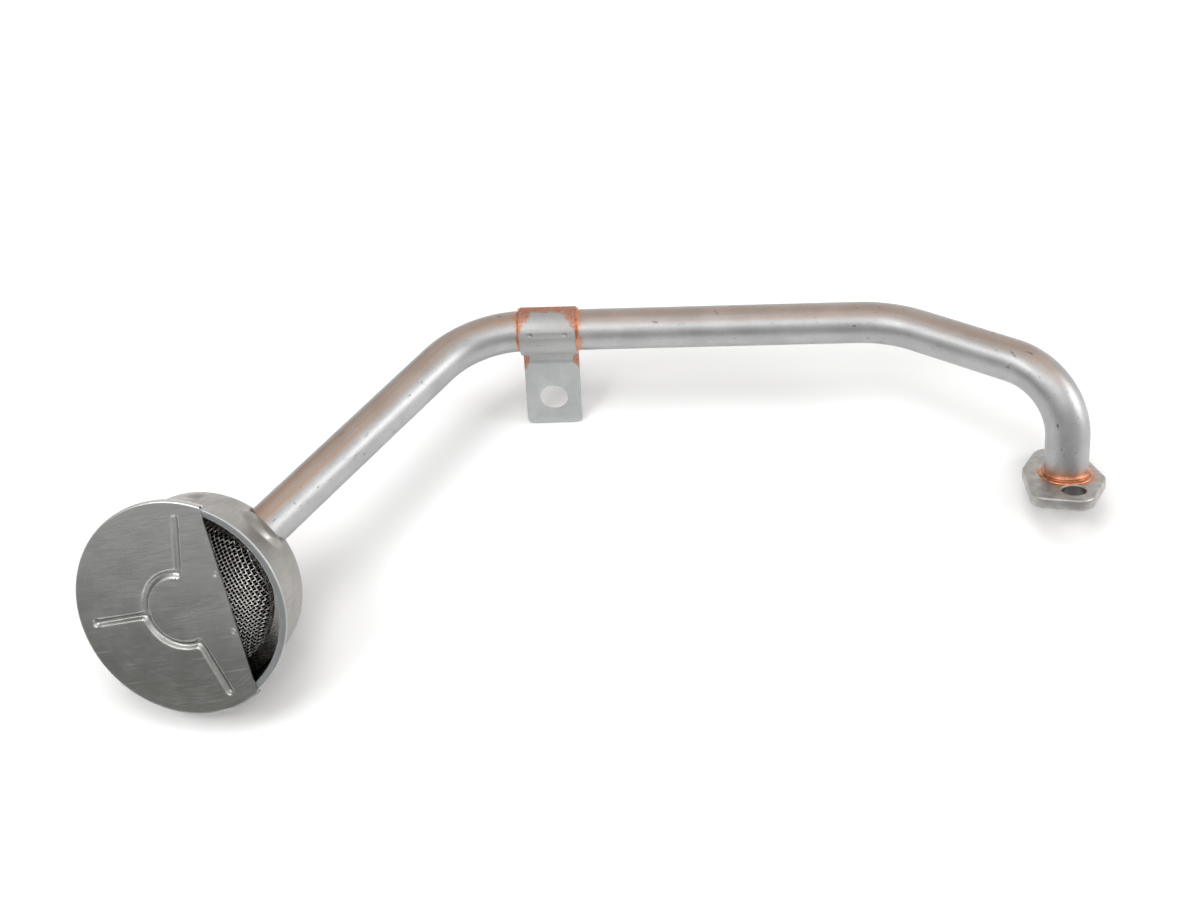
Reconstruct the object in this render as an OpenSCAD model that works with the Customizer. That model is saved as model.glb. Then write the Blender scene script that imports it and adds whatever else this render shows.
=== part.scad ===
// Oil pickup tube: a bent steel suction pipe with a bolted flange at one end, a brazed support
// bracket on its long straight, and a covered strainer cup with a woven screen at the other end.
// Millimetres. The pipe is drawn from its flange face along +Z, and rest() lays it on the table.

/* [Suction tube] */
// outside diameter of the pipe
tube_od = 17.2; // [12:0.1:25]
// wall of the pipe
tube_wall = 1.5; // [0.8:0.1:2.5]
// how far the pipe's end stays back from the flange's mating face
tube_recess = 0.5; // [0:0.1:2]
// straight from the mating face to the first bend
run_1 = 20.3; // [12:0.1:60]
// angle of the first bend
bend_1 = 83.6; // [0:0.1:120]
// centreline radius of the first bend
bend_r1 = 28; // [24:0.5:60]
// turn about the pipe's axis between the first and the second bend
turn_2 = 83; // [-180:0.1:180]
// straight between the first and the second bend
run_2 = 42.9; // [20:0.1:120]
// angle of the second bend
bend_2 = 37.3; // [0:0.1:120]
// centreline radius of the second bend
bend_r2 = 40; // [24:0.5:80]
// turn about the pipe's axis between the second and the third bend
turn_3 = -15.1; // [-180:0.1:180]
// straight that carries the bracket
run_3 = 138.7; // [60:0.1:250]
// angle of the third bend
bend_3 = 55.6; // [0:0.1:120]
// centreline radius of the third bend
bend_r3 = 43; // [24:0.5:80]
// straight from the third bend to the back corner of the cup
run_4 = 105.3; // [40:0.1:200]
// how far the pipe goes on into the cup
tube_insert = 7; // [4:0.1:14]
// how much the pipe's radius draws in through a bend
bend_draw = 0.04; // [0.02:0.01:0.2]

/* [Mounting flange] */
// thickness of the flange plate
flange_t = 5; // [3:0.1:12]
// turn of the flange's long axis about the pipe, from the plane of the first bend
flange_clock = 127; // [-180:0.5:180]
// reach of the front end from the pipe's axis
flange_front = 25; // [24:0.1:40]
// reach of the back end from the pipe's axis
flange_back = 25; // [21:0.1:40]
// reach of the outer side from the pipe's axis
flange_right = 14.8; // [12:0.1:25]
// reach of the inner side from the pipe's axis
flange_left = 16.7; // [12:0.1:25]
// corner radius at the ends
flange_end_r = 6.5; // [3:0.1:10]
// corner radius at the sides
flange_side_r = 4.8; // [2:0.1:10]
// distance between the two screw holes
screw_pcd = 31; // [30:0.1:60]
// shift of the pair of holes toward the front end
screw_shift = 0; // [-4:0.1:4]
// screw hole diameter, clearance for M8
screw_d = 9; // [5:0.1:13]

/* [Support bracket] */
// width of the strap along the pipe
strap_w = 23.6; // [12:0.1:40]
// sheet thickness of the strap
strap_t = 1.6; // [0.8:0.1:3]
// how far the strap's edge stands past the start of the last bend
strap_past = 2; // [0:0.1:2.4]
// angle that the strap wraps round the pipe
strap_wrap = 184; // [120:1:250]
// turn of the tab's direction about the pipe, from the plane of the third bend
tab_clock = -65.4; // [-180:0.1:180]
// inside radius of the bend from the strap to the tab
tab_bend_r = 2.5; // [1:0.1:6]
// reach of the tab's tip from the pipe's axis
tab_reach = 43; // [30:0.1:70]
// corner radius at the tab's tip
tab_corner_r = 2.2; // [0.5:0.1:6]
// middle of the slot from the pipe's axis
slot_at = 31.6; // [22:0.1:60]
// slot width, clearance for M8 with room to adjust
slot_w = 10.8; // [6:0.1:14]
// slot length along the pipe
slot_l = 12.2; // [6:0.1:18]
// distance between the two tack dimples
tack_span = 14.6; // [6:0.1:20]
// place of the tack dimples round the strap
tack_angle = 97; // [20:1:160]
// diameter of a tack dimple
tack_d = 2.2; // [1:0.1:4]

/* [Strainer cup] */
// angle between the pipe's last straight and the cup's axis
cup_tilt = 38.7; // [0:0.1:80]
// turn of the cup about the pipe's last straight, from the plane of the third bend
cup_clock = 55.8; // [-180:0.1:180]
// how far behind the lip the pipe's axis crosses the back corner
entry_depth = 30.6; // [15:0.1:40]
// how far from the cup's axis the pipe crosses that corner
entry_r = 30.1; // [10:0.1:36]
// how far the pipe comes in beside the cup's middle
entry_side = 0.3; // [-8:0.1:8]
// sheet thickness of the cup
cup_t = 1.2; // [0.6:0.1:2.5]
// outside radius of the turned-out lip
lip_r = 41.8; // [30:0.1:60]
// how far the lip is turned out past the wall
lip_w = 2; // [1:0.1:6]
// outside depth of the cup
cup_depth = 32; // [18:0.5:50]
// outside radius at the back corner
back_r = 37; // [20:0.1:45]
// rounding of the back corner
back_round = 6; // [2:0.1:12]
// wall of the socket formed round the pipe
socket_t = 1.5; // [0.8:0.1:3]
// radius of the punch that made the crimps
crimp_r = 2.4; // [1:0.1:5]
// depth of each crimp under the screen
crimp_in = 1; // [0.3:0.1:2]
// number of crimps
crimps = 4; // [3:1:8]

/* [Strainer screen] */
// thickness of the woven screen
screen_t = 0.9; // [0.4:0.1:2]
// radius of the dome at its foot
dome_r = 30.5; // [20:0.1:38]
// height of the dome over its rim
dome_h = 13; // [3:0.1:14]
// depth of the rim's upper face behind the lip
rim_z = 14.5; // [5:0.1:20]
// plain border of the dome round its gaps
screen_border = 5; // [3:0.1:10]
// pitch of the gaps
gap_pitch = 5.2; // [4:0.1:12]
// width of each gap
gap_w = 3.5; // [2:0.1:8]

/* [Cover plate] */
// sheet thickness of the cover
cover_t = 0.8; // [0.5:0.1:2]
// distance of the cut edge from the cup's axis
cover_cut = 20.4; // [0:0.1:36]
// direction of the opening, turned from the side where the pipe comes in
open_dir = -32; // [-180:1:180]
// how far the hem is turned in under the lip
hem_in = 1.2; // [0.2:0.1:1.5]
// radius of the pressed ring bead
bead_ring_r = 14.4; // [8:0.1:25]
// section radius of the pressed beads
bead_r = 1.5; // [0.8:0.1:3]
// depth of the pressed beads
bead_depth = 1; // [0.3:0.1:1.5]
// how much smaller the section of the straight beads is
bead_step = 0.25; // [0.1:0.05:0.6]
// outer end of the straight beads
bead_end = 36; // [20:0.1:39]
// angle between the middle bead and each of the other two
bead_spread = 105; // [60:1:120]

/* [Braze] */
// height of the braze fillet on the pipe
braze_h = 2.2; // [0.5:0.1:5]
// spread of the braze fillet on the plate
braze_w = 2; // [0.5:0.1:5]
// size of the braze along the strap's edges
braze_strap = 1.3; // [0.5:0.1:3]

/* [Fits] */
// gap left for braze between the pipe and what it is brazed to
braze_fit = 0.08; // [0.02:0.01:0.2]
// gap between the cover's hem and the lip
hem_fit = 0.1; // [0.02:0.01:0.5]
// gap between the screen's rim and the cup
rim_fit = 0.15; // [0.02:0.01:0.5]

/* [Lying on the table] */
// turn of the whole part about x, then y, then z, as it comes to rest
rest_turn_x = 22.821; // [-180:0.001:180]
rest_turn_y = 15.962; // [-180:0.001:180]
rest_turn_z = 145.132; // [-180:0.001:180]
// shift of the whole part onto the table's origin
rest_x = 183.629; // [-500:0.001:500]
rest_y = 2.562; // [-500:0.001:500]
rest_z = 11.602; // [-500:0.001:500]

/* [Hidden] */
$fn = 72;
bend_lap = 0.4;
tube_r = tube_od / 2;
strap_at = run_3 + strap_past - strap_w / 2;
strap_in = tube_r + braze_fit;
strap_out = strap_in + strap_t;
tab_x = strap_out + tab_bend_r;
cover_r = lip_r + hem_fit + cover_t;
hem_r = lip_r + hem_fit;
hem_z = -cup_t - hem_fit;
wall_top_r = lip_r - lip_w;
wall_slope = (wall_top_r - back_r) / (cup_depth - back_round - cup_t);
rim_r = wall_in(-rim_z - screen_t) - rim_fit;
crimp_z = -rim_z - screen_t - crimp_r - 0.1;

// inside radius of the cup's wall at a height
function wall_in(z) = wall_top_r + (z + cup_t) * wall_slope - cup_t * sqrt(1 + wall_slope * wall_slope);

// points of an arc, for a profile
function arc(c, r, a0, a1, n) =
  [for (i = [0:n]) let (a = a0 + (a1 - a0) * i / n) c + r * [cos(a), sin(a)]];

// the two ends of the outer tangent of two circles [x, y, r], taken anticlockwise
function unit(v) = v / norm(v);
function side(a, b) = let (d = [b.x - a.x, b.y - a.y], u = unit(d), s = (a.z - b.z) / norm(d))
  [u.y, -u.x] * sqrt(1 - s * s) + u * s;
function edge(a, b) = [[a.x, a.y] + a.z * side(a, b), [b.x, b.y] + b.z * side(a, b)];

// places along the pipe
module rest() {
  translate([rest_x, rest_y, rest_z]) rotate([rest_turn_x, rest_turn_y, rest_turn_z]) children();
}

module past_bend(angle, r) {
  translate([r, 0, 0]) rotate([0, angle, 0]) translate([-r, 0, 0]) children();
}

module leg_2() {
  translate([0, 0, run_1]) past_bend(bend_1, bend_r1) rotate([0, 0, turn_2]) children();
}

module leg_3() {
  leg_2() translate([0, 0, run_2]) past_bend(bend_2, bend_r2) rotate([0, 0, turn_3]) children();
}

module leg_4() {
  leg_3() translate([0, 0, run_3]) past_bend(bend_3, bend_r3) children();
}

// the cup's own frame: its lip in z = 0, its mouth toward +z, the pipe coming in on the +x side
module cup_frame() {
  leg_4() translate([0, 0, run_4]) rotate([0, 0, cup_clock]) rotate([0, cup_tilt, 0])
    translate([-entry_r, -entry_side, entry_depth]) children();
}

// the pipe's last straight, seen from the cup's frame
module cup_pipe() {
  translate([entry_r, entry_side, -entry_depth]) rotate([0, -cup_tilt, 0]) children();
}

// one bend of a solid rod; the pipe is drawn a little thinner through a bend
module rod_bend(angle, r, section) {
  translate([r, 0, 0]) rotate([-90, 0, 0]) rotate([0, 0, 180])
    rotate_extrude(angle = angle) translate([r, 0]) circle(r = section - bend_draw);
}

// one straight of a solid rod, lapped into the bends before and after it
module rod_straight(length, section, before, after) {
  translate([0, 0, -before]) cylinder(r = section, h = before + length + after);
}

// the pipe's path from its first bend on, as a solid rod carried on past both of its ends
module pipe_rod(section, past) {
  translate([0, 0, run_1]) rod_straight(0, section, past, bend_lap);
  translate([0, 0, run_1]) rod_bend(bend_1, bend_r1, section);
  leg_2() rod_straight(run_2, section, bend_lap, bend_lap);
  leg_2() translate([0, 0, run_2]) rod_bend(bend_2, bend_r2, section);
  leg_3() rod_straight(run_3, section, bend_lap, bend_lap);
  leg_3() translate([0, 0, run_3]) rod_bend(bend_3, bend_r3, section);
  leg_4() rod_straight(run_4 + tube_insert, section, bend_lap, past);
}

// the bent pipe, from its first bend to its open end in the cup
module suction_tube() {
  color([0.62, 0.62, 0.61]) rest() difference() {
    pipe_rod(tube_r, 0);
    pipe_rod(tube_r - tube_wall, 1);
  }
}

// the same pipe's first straight, a solid of its own that keeps the bore in the flange clear
module tube_outlet() {
  color([0.62, 0.62, 0.61]) rest() translate([0, 0, tube_recess]) difference() {
    cylinder(r = tube_r, h = run_1 - tube_recess);
    translate([0, 0, -tube_wall]) cylinder(r = tube_r - tube_wall, h = run_1 - tube_recess + 2 * tube_wall);
  }
}

// stamped plate with an uneven six-sided outline; each corner is a true round
flange_corners = [
  [flange_front - flange_end_r - 3, flange_end_r - flange_left, flange_end_r],
  [flange_front - flange_end_r, 1, flange_end_r],
  [4, flange_right - flange_side_r, flange_side_r],
  [flange_end_r - flange_back, 4, flange_end_r],
  [flange_end_r - flange_back, -3, flange_end_r],
  [-6, flange_side_r + 1 - flange_left, flange_side_r],
];
module mounting_flange() {
  n = len(flange_corners);
  outline = [for (i = [0:n - 1]) each edge(flange_corners[i], flange_corners[(i + 1) % n])];
  color([0.6, 0.58, 0.56]) rest() rotate([0, 0, flange_clock]) difference() {
    union() {
      linear_extrude(flange_t) polygon(outline);
      for (c = flange_corners) translate([c.x, c.y, 0]) cylinder(r = c.z, h = flange_t);
    }
    translate([0, 0, -1]) cylinder(r = tube_r + braze_fit, h = flange_t + 2);
    for (s = [-1, 1]) translate([screw_shift + s * screw_pcd / 2, 0, -1])
      cylinder(d = screw_d, h = flange_t + 2);
  }
}

// strap over the pipe, bent back into a flat tab with an adjusting slot
module bracket_frame() {
  leg_3() translate([0, 0, strap_at]) rotate([0, 0, tab_clock]) children();
}

module support_bracket() {
  color([0.66, 0.66, 0.65]) rest() bracket_frame() difference() {
    union() {
      rotate_extrude(angle = strap_wrap) translate([strap_in, -strap_w / 2]) square([strap_t, strap_w]);
      translate([tab_x, 0, 0]) rotate([0, 0, 180]) rotate_extrude(angle = 90)
        translate([tab_bend_r, -strap_w / 2]) square([strap_t, strap_w]);
      translate([tab_x, -tab_bend_r - strap_t, -strap_w / 2])
        cube([tab_reach - tab_corner_r - tab_x, strap_t, strap_w]);
      translate([tab_x, -tab_bend_r - strap_t, tab_corner_r - strap_w / 2])
        cube([tab_reach - tab_x, strap_t, strap_w - 2 * tab_corner_r]);
      for (s = [-1, 1])
        translate([tab_reach - tab_corner_r, -tab_bend_r, s * (strap_w / 2 - tab_corner_r)])
          rotate([90, 0, 0]) cylinder(r = tab_corner_r, h = strap_t);
    }
    translate([slot_at, 0, 0]) {
      for (s = [-1, 1]) translate([0, 0, s * (slot_l - slot_w) / 2])
        rotate([90, 0, 0]) cylinder(d = slot_w, h = 2 * (tab_bend_r + strap_t));
      translate([-slot_w / 2, -2 * (tab_bend_r + strap_t), -(slot_l - slot_w) / 2])
        cube([slot_w, 2 * (tab_bend_r + strap_t), slot_l - slot_w]);
    }
    rotate([0, 0, tack_angle]) for (s = [-1, 1])
      translate([strap_out - strap_t / 2, 0, s * tack_span / 2])
        rotate([0, 90, 0]) cylinder(d = tack_d, h = strap_t);
  }
}

// outside of the drawn cup, as a turned solid
module cup_outside() {
  rotate_extrude() polygon(concat(
    [[0, 0], [lip_r - cup_t / 2, 0], [lip_r - cup_t / 2, -cup_t], [wall_top_r, -cup_t]],
    arc([back_r - back_round, back_round - cup_depth], back_round, -atan(wall_slope), -90, 8),
    [[0, -cup_depth]]));
}

module cup_inside() {
  rotate_extrude() polygon(concat(
    [[0, 1], [wall_in(0), 1], [wall_in(-cup_t), -cup_t]],
    arc([back_r - back_round, back_round - cup_depth], back_round - cup_t, -atan(wall_slope), -90, 8),
    [[0, cup_t - cup_depth]]));
}

module crimp_punch(grow) {
  for (i = [0:crimps - 1]) rotate([0, 0, 45 + i * 360 / crimps])
    translate([wall_in(crimp_z) + cup_t + crimp_r - crimp_in, 0, crimp_z])
      sphere(r = crimp_r + grow, $fn = 32);
}

// drawn cup with a turned-out lip, a socket turned in round the pipe and crimps under the screen
module strainer_cup() {
  color([0.6, 0.58, 0.55]) rest() cup_frame() difference() {
    union() {
      difference() {
        cup_outside();
        cup_inside();
      }
      rotate_extrude() translate([lip_r - cup_t / 2, -cup_t / 2]) circle(r = cup_t / 2, $fn = 32);
      intersection() {
        cup_outside();
        cup_pipe() translate([0, 0, -cup_depth]) cylinder(r = tube_r + socket_t, h = cup_depth + tube_insert);
      }
      intersection() {
        cup_outside();
        crimp_punch(cup_t);
      }
    }
    crimp_punch(0);
    cup_pipe() translate([0, 0, -2 * cup_depth])
      cylinder(r = tube_r + braze_fit, h = 2 * cup_depth + tube_insert + tube_wall);
  }
}

// domed woven screen on a flat rim; its open weave is drawn as a grid of gaps
module strainer_screen() {
  outer = arc([0, 0], 1, 0, 90, 8);
  color([0.5, 0.5, 0.5]) rest() cup_frame() difference() {
    translate([0, 0, -rim_z]) rotate_extrude() polygon(concat(
      [[rim_r, -screen_t], [rim_r, 0]],
      [for (p = outer) [p.x * dome_r, p.y * dome_h]],
      [for (i = [8:-1:0]) [outer[i].x * (dome_r - screen_t), outer[i].y * (dome_h - screen_t)]],
      [[dome_r - screen_t, -screen_t]]));
    n = floor((dome_r - screen_border) / gap_pitch);
    for (i = [-n:n], j = [-n:n]) if (norm([i, j]) * gap_pitch < dome_r - screen_border)
      translate([i * gap_pitch - gap_w / 2, j * gap_pitch - gap_w / 2, -rim_z])
        cube([gap_w, gap_w, rim_z]);
  }
}

// tracks of the pressed beads: a part ring, three straight beads, each with a round end
module beads(r) {
  translate([0, 0, cover_t + bead_r - bead_depth]) {
    rotate([0, 0, 180 - bead_spread]) rotate_extrude(angle = 2 * bead_spread)
      translate([bead_ring_r, 0]) circle(r = r, $fn = 32);
    for (a = [-1, 0, 1]) rotate([0, 0, 180 + a * bead_spread]) {
      translate([bead_ring_r, 0, 0]) rotate([0, 90, 0])
        cylinder(r = r - bead_step, h = bead_end - bead_ring_r, $fn = 32);
      translate([bead_end, 0, 0]) sphere(r = r - bead_step - bend_draw, $fn = 32);
    }
  }
}

// pressed cover, hemmed over the lip and cut straight across to leave the mouth open on one side
module cover_plate() {
  color([0.48, 0.49, 0.48]) rest() cup_frame() rotate([0, 0, open_dir]) difference() {
    union() {
      rotate_extrude() polygon([
        [0, 0], [hem_r, 0], [hem_r, hem_z], [hem_r - hem_in, hem_z], [hem_r - hem_in, hem_z - cover_t],
        [cover_r - cover_t / 2, hem_z - cover_t], [cover_r, hem_z - cover_t / 2], [cover_r, cover_t * 0.4],
        [cover_r - cover_t * 0.6, cover_t], [0, cover_t]]);
      intersection() {
        beads(bead_r + cover_t);
        translate([0, 0, -4 * bead_r]) cylinder(r = cover_r - lip_w, h = 4 * bead_r + cover_t / 2);
      }
    }
    beads(bead_r);
    translate([cover_cut, -cover_r - 1, -cup_depth]) cube([cover_r, 2 * cover_r + 2, 2 * cup_depth]);
  }
}

// copper fillet round the pipe on the flange
module flange_braze() {
  color([0.72, 0.43, 0.28]) rest() translate([0, 0, flange_t]) rotate_extrude() polygon([
    [tube_r, 0], [tube_r + braze_w, 0], [tube_r + braze_w * 0.4, braze_h * 0.35], [tube_r, braze_h]]);
}

// copper along both side edges of the strap and along its free end
module bracket_braze() {
  color([0.72, 0.43, 0.28]) rest() bracket_frame() {
    for (s = [0, 1]) mirror([0, 0, s]) rotate_extrude(angle = strap_wrap + 6) polygon([
      [tube_r, strap_w / 2], [tube_r + braze_strap, strap_w / 2], [tube_r, strap_w / 2 + braze_strap]]);
    rotate([0, 0, strap_wrap]) rotate_extrude(angle = 6)
      translate([tube_r, -strap_w / 2]) square([braze_strap / 2, strap_w]);
  }
}

suction_tube();
tube_outlet();
mounting_flange();
support_bracket();
strainer_cup();
strainer_screen();
cover_plate();
flange_braze();
bracket_braze();
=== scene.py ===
import math

import bmesh
import bpy
from mathutils import Matrix, Vector, noise


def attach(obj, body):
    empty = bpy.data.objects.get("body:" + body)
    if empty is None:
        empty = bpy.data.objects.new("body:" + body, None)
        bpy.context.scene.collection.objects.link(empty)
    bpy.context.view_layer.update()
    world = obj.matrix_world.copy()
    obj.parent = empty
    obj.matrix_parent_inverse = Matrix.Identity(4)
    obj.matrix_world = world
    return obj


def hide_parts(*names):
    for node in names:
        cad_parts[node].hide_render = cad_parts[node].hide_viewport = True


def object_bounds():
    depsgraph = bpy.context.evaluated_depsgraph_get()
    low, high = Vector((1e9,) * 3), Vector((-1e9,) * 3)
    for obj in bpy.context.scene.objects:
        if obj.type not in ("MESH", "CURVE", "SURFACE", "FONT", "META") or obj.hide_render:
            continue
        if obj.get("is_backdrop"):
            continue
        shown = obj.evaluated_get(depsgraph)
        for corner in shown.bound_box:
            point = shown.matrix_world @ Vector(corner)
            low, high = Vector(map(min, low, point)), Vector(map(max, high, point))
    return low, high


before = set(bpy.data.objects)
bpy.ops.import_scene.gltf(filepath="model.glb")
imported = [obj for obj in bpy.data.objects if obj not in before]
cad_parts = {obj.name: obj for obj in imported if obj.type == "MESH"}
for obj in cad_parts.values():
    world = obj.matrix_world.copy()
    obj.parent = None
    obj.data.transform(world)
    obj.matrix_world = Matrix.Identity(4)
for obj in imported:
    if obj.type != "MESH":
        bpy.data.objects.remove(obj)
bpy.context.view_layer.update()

# Suction pipe.
# One length of drawn steel pipe, 17.2 mm outside, bent cold in three places. It carries the oil
# from the strainer cup to the flange, and everything else is brazed on to it.
MM = 0.001
PIPE_R = 8.6
PIPE_WALL = 1.5
PIPE_START = 0.5
PIPE_RUNS = [
    # straight, bend, bend radius, roll before the next bend, rings in the bend
    (20.3, 83.6, 28.0, 83.0, 26),
    (42.9, 37.3, 40.0, -15.1, 16),
    (138.7, 55.6, 43.0, 0.0, 22),
]
PIPE_LAST = 112.3
PIPE_SIDES = 80
REST_AT = (183.629, 2.562, 11.602)
REST_TURNS = [(145.132, "Z"), (15.962, "Y"), (22.821, "X")]
STRAP_ALONG = 259.0
STEEL = (0.42, 0.42, 0.415)
COPPER = (0.58, 0.25, 0.135)
PIPE_DULL = (0.4, 0.4, 0.4)
PIPE_BRIGHT = (0.475, 0.475, 0.475)
PIPE_GRAIN = (0.26, 0.26, 0.26)
PIPE_SCUFF = (0.27, 0.262, 0.255)
# painted reflection of a warm room overhead, laid on the pipe's upward-facing side
WARM_REFLECTION_BROWN = (0.50, 0.31, 0.205)
PIT_DARK = (0.1, 0.095, 0.09)


def shift(x, y, z):
    return Matrix.Translation((x, y, z))


def turned(degrees, axis):
    return Matrix.Rotation(math.radians(degrees), 4, axis)


def past_bend(run, degrees, radius, roll):
    """The pipe's frame after a straight and a bend, seen from its frame before them."""
    return shift(radius, 0, run) @ turned(degrees, "Y") @ shift(-radius, 0, 0) @ turned(roll, "Z")


lying = shift(*REST_AT)
for degrees, axis in REST_TURNS:
    lying = lying @ turned(degrees, axis)
legs = [lying]
for bend in PIPE_RUNS:
    legs.append(legs[-1] @ past_bend(*bend[:4]))


def put_out(bm, name):
    """A bmesh made an object of the scene."""
    mesh = bpy.data.meshes.new(name)
    bm.to_mesh(mesh)
    bm.free()
    piece = bpy.data.objects.new(name, mesh)
    bpy.context.scene.collection.objects.link(piece)
    return piece


def settle(bm, name, place, finish, *nodes, slot, sharp=32, flat=1.0):
    """Lays a piece that was modelled in millimetres in its own frame where the real one sits. Edges
    past sharp degrees stay sharp, and faces past flat square metres are not shaded round."""
    bm.transform(Matrix.Scale(MM, 4) @ place)
    piece = put_out(bm, name)
    for polygon in piece.data.polygons:
        polygon.use_smooth = polygon.area < flat
    piece.data.set_sharp_from_angle(angle=math.radians(sharp))
    piece.data.materials.append(finish)
    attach(piece, "root")
    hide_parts(*nodes)


def bare_metal(name, colour, roughness):
    """A new metal finish, plain until its detail is linked in: its node tree and its shader."""
    finish = bpy.data.materials.new(name)
    finish.use_nodes = True
    shader = finish.node_tree.nodes["Principled BSDF"]
    shader.inputs["Base Color"].default_value = (*colour, 1)
    shader.inputs["Metallic"].default_value = 1.0
    shader.inputs["Roughness"].default_value = roughness
    return finish, finish.node_tree, shader


def add(tree, kind, settings=(), **sockets):
    """A node with its settings, and its sockets set or linked; a socket's spaces are written as _."""
    node = tree.nodes.new("ShaderNode" + kind)
    for key, value in dict(settings).items():
        setattr(node, key, value)
    for key, value in sockets.items():
        socket = node.inputs[int(key[1:])] if key[0] == "_" else node.inputs[key.replace("_", " ")]
        if isinstance(value, bpy.types.NodeSocket):
            tree.links.new(value, socket)
        else:
            socket.default_value = value
    return node


def maths(tree, operation, first, second=0.0):
    return add(tree, "Math", {"operation": operation}, _0=first, _1=second).outputs[0]


def away_from(tree, value, place):
    """How far a value is from a place, to either side."""
    return maths(tree, "ABSOLUTE", maths(tree, "SUBTRACT", value, place))


def ramp(tree, value, low, high, out_low=0.0, out_high=1.0):
    """A value carried smoothly from one range to another."""
    return add(tree, "MapRange", {"interpolation_type": "SMOOTHSTEP"}, Value=value, From_Min=low,
               From_Max=high, To_Min=out_low, To_Max=out_high).outputs[0]


def cloud(tree, where, scale, detail=4.0, rough=0.55, stretch=(1, 1, 1)):
    """Noise from 0 to 1 at a place, drawn out along an axis by the stretch."""
    spot = add(tree, "Mapping", Vector=where, Scale=stretch).outputs[0]
    return add(tree, "TexNoise", Vector=spot, Scale=scale, Detail=detail, Roughness=rough).outputs[0]


def wander(tree, where, scale, reach, middle=0.5):
    """An uneven distance that draws a stain's edge in and out."""
    return maths(tree, "MULTIPLY", maths(tree, "SUBTRACT", cloud(tree, where, scale), middle), reach)


def tinted(tree, share, under, over, most=1.0):
    """One colour laid over another by a share of the most that it covers."""
    if most < 1:
        share = maths(tree, "MULTIPLY", share, most)
    mix = add(tree, "Mix", {"data_type": "RGBA"}, Factor=share)
    for socket, colour in ((mix.inputs[6], under), (mix.inputs[7], over)):
        if isinstance(colour, bpy.types.NodeSocket):
            tree.links.new(colour, socket)
        else:
            socket.default_value = (*colour, 1)
    return mix.outputs[2]


def in_frame(tree, place):
    """Object coordinates seen in a piece's own frame, in millimetres."""
    spot, turn, _ = place.decompose()
    here = add(tree, "TexCoord").outputs["Object"]
    return add(tree, "Mapping", {"vector_type": "TEXTURE"}, Vector=here, Location=spot * MM,
               Rotation=turn.to_euler(), Scale=(MM, MM, MM)).outputs[0]


def coated(tree, shader, colour, roughness):
    tree.links.new(colour, shader.inputs["Base Color"])
    tree.links.new(roughness, shader.inputs["Roughness"])


def rough_skin(tree, shader, height, depth):
    """A relief of a depth in millimetres under the shine."""
    bump = add(tree, "Bump", Height=height, Distance=depth * MM, Strength=1.0)
    tree.links.new(bump.outputs[0], shader.inputs["Normal"])


pipe_steel, tree, shader = bare_metal("pipe_steel", STEEL, 0.36)
grain = add(tree, "Attribute", {"attribute_name": "grain"}).outputs["Vector"]
apart = add(tree, "SeparateXYZ", Vector=grain).outputs
along, facing = apart["X"], apart["Z"]
here = add(tree, "TexCoord").outputs["Object"]
skyward = add(tree, "SeparateXYZ", Vector=add(tree, "NewGeometry").outputs["Normal"]).outputs["Z"]
draw_marks = cloud(tree, grain, 1.0, 3.0, 0.6, (0.02, 26, 26))
mottle = cloud(tree, here, 70.0, 5.0, 0.6)
pits = ramp(tree, cloud(tree, grain, 1.0, 6.0, 0.68, (0.2, 3.6, 3.6)), 0.63, 0.685)
scuffs = ramp(tree, cloud(tree, grain, 1.0, 6.0, 0.7, (0.07, 14, 14)), 0.6, 0.72)
satin = ramp(tree, cloud(tree, here, 1300.0, 3.0, 0.6), 0.34, 0.66)
streaks = ramp(tree, cloud(tree, grain, 1.0, 4.0, 0.6, (0.012, 7, 7)), 0.3, 0.68, 0.3, 1.0)
# Painted reflection: warm brown on the pipe's upward-facing side, drawn out in streaks and strongest
# towards the cup.
painted_warm_reflection = maths(tree, "MULTIPLY", ramp(tree, skyward, 0.80, 0.99), streaks)
near_cup = ramp(tree, along, 300.0, 412.0, 0.6, 1.0)
steel = tinted(tree, ramp(tree, mottle, 0.35, 0.68), PIPE_DULL, PIPE_BRIGHT)
steel = tinted(tree, satin, steel, PIPE_GRAIN, 0.16)
steel = tinted(tree, scuffs, steel, PIPE_SCUFF, 0.42)
steel = tinted(tree, maths(tree, "MULTIPLY", painted_warm_reflection, near_cup), steel, WARM_REFLECTION_BROWN)
steel = tinted(tree, pits, steel, PIT_DARK, 0.75)
creep = wander(tree, here, 420.0, 7.0)
from_strap = away_from(tree, along, STRAP_ALONG)
strap_wash = ramp(tree, maths(tree, "ADD", from_strap, creep), 15.0, 12.6)
strapped = maths(tree, "ADD", facing, maths(tree, "MULTIPLY", creep, 0.06))
strap_wash = maths(tree, "MULTIPLY", strap_wash, ramp(tree, strapped, -0.55, -0.25))
flange_wash = ramp(tree, maths(tree, "ADD", along, creep), 12.0, 6.5)
steel = tinted(tree, maths(tree, "MAXIMUM", strap_wash, flange_wash), steel, COPPER, 0.7)
gloss = maths(tree, "MULTIPLY", draw_marks, 0.10)
gloss = maths(tree, "ADD", gloss, maths(tree, "MULTIPLY", mottle, 0.12))
coated(tree, shader, steel, maths(tree, "ADD", gloss, 0.33))
relief = maths(tree, "SUBTRACT", maths(tree, "MULTIPLY", draw_marks, 0.2), pits)
relief = maths(tree, "ADD", relief, maths(tree, "MULTIPLY", satin, 0.1))
rough_skin(tree, shader, relief, 0.05)

pipe = bmesh.new()
grain_layer = pipe.verts.layers.float_vector.new("grain")
bmesh.ops.create_circle(pipe, segments=PIPE_SIDES, radius=PIPE_R, matrix=shift(0, 0, PIPE_START))
for vert in pipe.verts:
    side = vert.co.xy.normalized()
    vert[grain_layer] = (PIPE_START, side.x, side.y)
ring = list(pipe.edges)


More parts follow.
